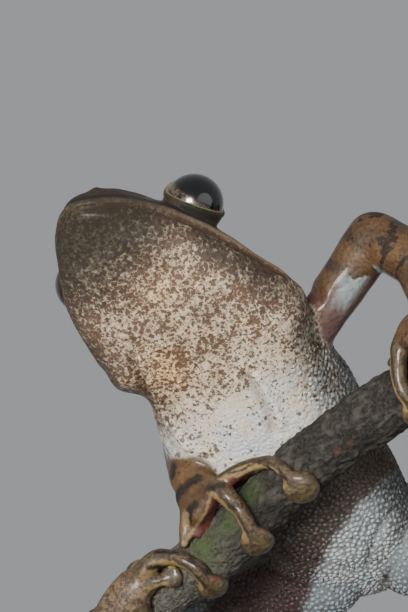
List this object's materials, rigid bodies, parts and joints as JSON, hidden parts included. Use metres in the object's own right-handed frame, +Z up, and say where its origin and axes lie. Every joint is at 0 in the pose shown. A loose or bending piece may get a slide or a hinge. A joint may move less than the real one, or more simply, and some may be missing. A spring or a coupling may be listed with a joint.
{
  "type": "four-lined tree frog on a branch perch",
  "caption": "Life-size still tree frog, head raised, gripping a short cut branch held on two rods over a flat base.",
  "frame": {"origin": "centre of the base plate's underside, which is also the bottom centre of the whole part's box", "axes": "+Z up; +X along the base's long side, the way the branch rises; the frog's head points along -Y and up"},
  "size_m": [0.112, 0.096, 0.1024],
  "materials": {
    "skin_back": "moist orange-brown skin with dark markings",
    "skin_throat": "moist cream skin mottled brown",
    "skin_belly": "moist white granular skin",
    "skin_limb": "moist orange-brown skin with dark bars",
    "eye": "wet dark eye",
    "bark": "rough grey-green bark, pale cut ends",
    "stand_base": "satin black painted wood",
    "stand_rod": "dark satin steel"
  },
  "bodies": {
    "root": {"head": "skin_back", "lower_jaw": "skin_throat", "torso": "skin_belly", "pelvis": "skin_belly", "eye_left": "eye", "eye_right": "eye", "tympanum_left": "skin_back", "tympanum_right": "skin_back", "upper_arm_left": "skin_limb", "forearm_left": "skin_limb", "hand_left": "skin_limb", "finger_left_1": "skin_limb", "finger_left_2": "skin_limb", "finger_left_3": "skin_limb", "finger_left_4": "skin_limb", "upper_arm_right": "skin_limb", "forearm_right": "skin_limb", "hand_right": "skin_limb", "finger_right_1": "skin_limb", "finger_right_2": "skin_limb", "finger_right_3": "skin_limb", "finger_right_4": "skin_limb", "thigh_left": "skin_limb", "shank_left": "skin_limb", "tarsus_left": "skin_limb", "foot_left": "skin_limb", "toe_left_1": "skin_limb", "toe_left_2": "skin_limb", "toe_left_3": "skin_limb", "toe_left_4": "skin_limb", "toe_left_5": "skin_limb", "thigh_right": "skin_limb", "shank_right": "skin_limb", "tarsus_right": "skin_limb", "foot_right": "skin_limb", "toe_right_1": "skin_limb", "toe_right_2": "skin_limb", "toe_right_3": "skin_limb", "toe_right_4": "skin_limb", "toe_right_5": "skin_limb", "branch": "bark", "stand_base": "stand_base", "stand_rod_low": "stand_rod", "stand_rod_high": "stand_rod"}
  },
  "joints": []
}
